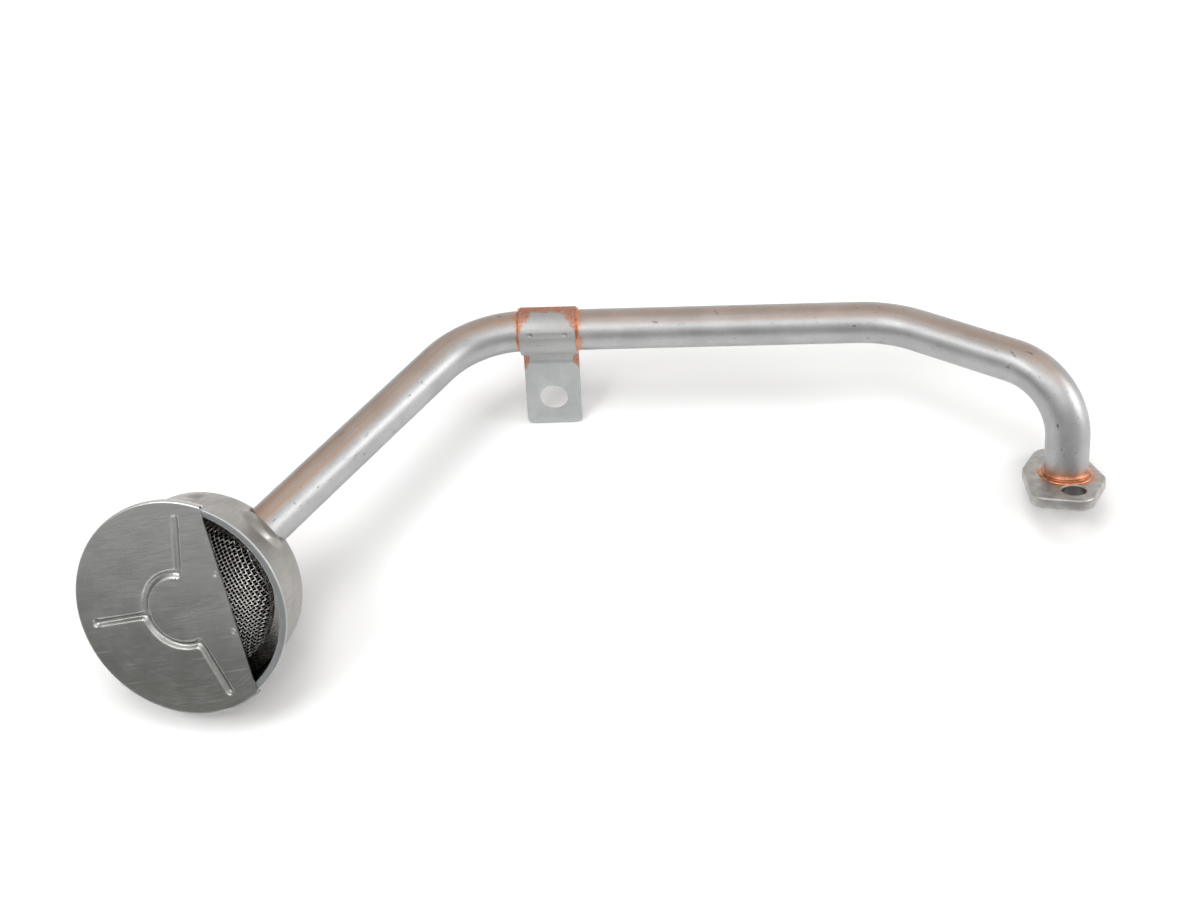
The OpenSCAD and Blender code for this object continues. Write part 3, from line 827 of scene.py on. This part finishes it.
skirt = [(0, COVER_T)]
skirt += spaced(skirt[-1], (COVER_R - 0.9, COVER_T), 80)
skirt += bow((COVER_R - 0.8, COVER_T - 0.8), 0.8, 82, 0, 5)
skirt += spaced(skirt[-1], (COVER_R, HEM_Z), 3)
skirt += bow((COVER_R - HEM_ROUND, HEM_Z), HEM_ROUND, 0, -90, 4)[1:]
skirt += spaced(skirt[-1], (COVER_R - 1.8, HEM_Z - HEM_ROUND), 2)
cover = bmesh.new()
lathe(cover, skirt, 420)
bead_turns = [math.radians(180 + a) for a in (-BEAD_SPREAD, 0, BEAD_SPREAD)]
bead_ways = [Vector((math.cos(turn), math.sin(turn))) for turn in bead_turns]
for vert in cover.verts:
    out, at = math.hypot(vert.co.x, vert.co.y), math.atan2(vert.co.y, vert.co.x)
    if vert.co.z < COVER_T - 0.01 or out > COVER_R - 1:
        continue
    place = vert.co.xy
    gaps = [(place - way * max(BEAD_RING, min(BEAD_END, place.dot(way)))).length for way in bead_ways]
    if abs(math.remainder(at - math.pi, math.tau)) < math.radians(BEAD_SPREAD):
        gaps.append(abs(out - BEAD_RING))
    gap = -BEAD_BLEND * math.log(sum(math.exp(-each / BEAD_BLEND) for each in gaps) + 1e-12)
    vert.co.z -= BEAD_DEEP * eased(1.15 - gap / BEAD_HALF)
    for s in (-1, 1):
        near = 1 - (place - Vector((DIMPLE_AT[0], s * DIMPLE_AT[1]))).length / DIMPLE_R
        vert.co.z -= DIMPLE_DEEP * max(0.0, near)
bmesh.ops.bisect_plane(cover, geom=cover.verts[:] + cover.edges[:] + cover.faces[:],
                       plane_co=(CHORD, 0, 0), plane_no=(1, 0, 0), clear_outer=True, dist=1e-5)
bmesh.ops.recalc_face_normals(cover, faces=cover.faces)
cover = thickened(cover, "cover", COVER_T, -1)

cover_steel, tree, shader = bare_metal("cover_steel", COVER_GREY, 0.4)
spot = in_frame(tree, cover_place)
apart = add(tree, "SeparateXYZ", Vector=spot).outputs
way = vectors(tree, "NORMALIZE", vectors(tree, "MULTIPLY", spot, (1, 1, 0))["Vector"])["Vector"]
round_way = vectors(tree, "MULTIPLY", way, (1.6, 1.6, 0))["Vector"]
outward = add(tree, "CombineXYZ", Z=maths(tree, "MULTIPLY", from_axis(tree, spot), 4.0)).outputs[0]
arcs = cloud(tree, vectors(tree, "ADD", outward, round_way)["Vector"], 1.0, 4.0, 0.7)
rolled = cloud(tree, spot, 1.0, 5.0, 0.65, (0.12, 1.6, 1))
mottle = cloud(tree, spot, 0.07, 5.0, 0.6)
# Painted light and shade: the cover is painted lighter towards one side and darker towards the other,
# broken up by random mottle.
light_slope_and_mottle = maths(tree, "ADD", apart["Y"], maths(tree, "MULTIPLY", apart["X"], 0.3))
light_slope_and_mottle = maths(tree, "ADD", light_slope_and_mottle, maths(tree, "MULTIPLY", mottle, 46.0))
handled = ramp(tree, cloud(tree, spot, 0.09, 2.0, 0.5), 0.42, 0.64)
streaks = ramp(tree, cloud(tree, spot, 1.0, 4.0, 0.62, (0.02, 1.2, 1)), 0.52, 0.68)
grit = ramp(tree, cloud(tree, spot, 2.4, 3.0, 0.6), 0.35, 0.65)
metal = tinted(tree, ramp(tree, light_slope_and_mottle, -20.0, 64.0), COVER_SHADED_GREY, COVER_LIT_GREY)
metal = tinted(tree, ramp(tree, arcs, 0.56, 0.7), metal, ARC_BRIGHT, 0.4)
metal = tinted(tree, ramp(tree, rolled, 0.6, 0.76), metal, ROLL_DARK, 0.3)
metal = tinted(tree, maths(tree, "MULTIPLY", streaks, handled), metal, STREAK_BRIGHT, 0.42)
metal = tinted(tree, grit, metal, COVER_GRIT, 0.16)
coated(tree, shader, metal, ramp(tree, rolled, 0.3, 0.7, 0.28, 0.4))
rough_skin(tree, shader, maths(tree, "ADD", arcs, rolled), 0.02)
settle(drafted(cover), "cover", cover_place, cover_steel, "cover_plate", slot="cover_steel", sharp=40)

# Table, light and camera.
# A paper floor that fades to plain white in a white room. Soft boxes stand at the right, the front
# and the left, and one overhead lays the shadow. The camera looks from the front and well above.
FLOOR_HALF = 3.0
FLOOR_BACK = 2.8
FLOOR_FADE = (0.34, 0.75)
PAPER = (0.86, 0.86, 0.86)
WHITE = (1.0, 1.0, 1.0)
ROOM = (0.92, 0.92, 0.92)
ROOM_TOP = (1.1, 1.1, 1.1)
ROOM_REAR = (0.76, 0.71, 0.67)
ROOM_FRONT = (0.42, 0.42, 0.43)
ROOM_LEFT = (0.34, 0.34, 0.34)
ROOM_DIM = (0.6, 0.6, 0.6, 1)
CAMERA_AT = (0.04245, -0.38377, 0.53434)
CAMERA_RIGHT = Vector((0.9963, 0.0, -0.08589))
CAMERA_DOWN = Vector((-0.05342, -0.78308, -0.61962))
CAMERA_AHEAD = Vector((-0.06726, 0.62192, -0.78019))
table = bmesh.new()
bmesh.ops.create_grid(table, x_segments=2, y_segments=2, size=FLOOR_HALF, matrix=shift(0, FLOOR_BACK, 0))
table = put_out(table, "table")
table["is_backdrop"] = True
paper = bpy.data.materials.new("paper")
paper.use_nodes = True
tree = paper.node_tree
shader = tree.nodes["Principled BSDF"]
shader.inputs["Roughness"].default_value = 0.9
shader.inputs["Specular IOR Level"].default_value = 0.1
path = add(tree, "LightPath").outputs
seen = maths(tree, "MAXIMUM", path["Is Camera Ray"], path["Is Glossy Ray"])
seen = maths(tree, "MAXIMUM", seen, path["Is Transmission Ray"])
tree.links.new(tinted(tree, seen, PAPER, WHITE), shader.inputs["Base Color"])
from_middle = vectors(tree, "LENGTH", add(tree, "TexCoord").outputs["Object"])["Value"]
faded = maths(tree, "MULTIPLY", ramp(tree, from_middle, *FLOOR_FADE), seen)
plain = add(tree, "Emission", Color=(*WHITE, 1), Strength=1.0).outputs[0]
surface = add(tree, "MixShader", Fac=faded, _1=shader.outputs[0], _2=plain).outputs[0]
tree.links.new(surface, tree.nodes["Material Output"].inputs["Surface"])
table.data.materials.append(paper)

world = bpy.data.worlds.new("studio")
bpy.context.scene.world = world
world.use_nodes = True
tree = world.node_tree
sky = tree.nodes["Background"]
path = add(tree, "LightPath").outputs
aim = add(tree, "SeparateXYZ", Vector=add(tree, "TexCoord").outputs["Generated"]).outputs
rear = maths(tree, "MULTIPLY", ramp(tree, aim["Y"], 0.1, 0.6), ramp(tree, aim["Z"], 0.2, 0.6))
front = maths(tree, "MULTIPLY", ramp(tree, aim["Y"], -0.2, -0.85), ramp(tree, aim["Z"], 0.9, 0.2))
left = maths(tree, "MULTIPLY", ramp(tree, aim["X"], -0.15, -0.6), ramp(tree, aim["Z"], 0.6, 0.2))
studio = tinted(tree, ramp(tree, aim["Z"], 0.45, 0.95), ROOM, ROOM_TOP)
studio = tinted(tree, rear, studio, ROOM_REAR)
studio = tinted(tree, front, studio, ROOM_FRONT)
studio = tinted(tree, left, studio, ROOM_LEFT)
dim = add(tree, "Mix", {"data_type": "RGBA", "blend_type": "MULTIPLY"}, Factor=path["Is Diffuse Ray"],
          _6=studio, _7=ROOM_DIM).outputs[2]
tree.links.new(tinted(tree, path["Is Camera Ray"], dim, WHITE), sky.inputs["Color"])
sky.inputs["Strength"].default_value = 1.0


def soft_box(name, spot, aim, size, power):
    lamp = bpy.data.lights.new(name, "AREA")
    lamp.shape = "RECTANGLE"
    lamp.size, lamp.size_y = size
    lamp.energy = power
    box = bpy.data.objects.new(name, lamp)
    box.location = spot
    box.rotation_euler = (Vector(aim) - Vector(spot)).to_track_quat("-Z", "Y").to_euler()
    bpy.context.scene.collection.objects.link(box)
    return box


soft_box("right_box", (1.0, -0.06, 0.46), (0, 0, 0.03), (0.5, 0.44), 3.4)
soft_box("front_box", (0.15, -0.6, 1.08), (0, 0, 0), (0.9, 0.45), 2.1)
soft_box("left_box", (-0.66, -0.32, 0.99), (-0.1, 0, 0), (0.56, 0.36), 3.8)
shade_box = soft_box("shade_box", (-0.12, 0.14, 1.3), (0, 0, 0), (0.7, 0.7), 5.2)
shade_box.visible_glossy = False

lens = bpy.data.cameras.new("camera")
lens.lens = 48.0
lens.sensor_width = 36.0
lens.sensor_fit = "HORIZONTAL"
lens.clip_start = 0.01
camera = bpy.data.objects.new("camera", lens)
looking = Matrix((CAMERA_RIGHT, -CAMERA_DOWN, -CAMERA_AHEAD)).transposed().to_4x4()
camera.matrix_world = Matrix.Translation(CAMERA_AT) @ looking
bpy.context.scene.collection.objects.link(camera)
bpy.context.scene.camera = camera
bpy.context.scene.view_settings.view_transform = "Standard"

low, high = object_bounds()
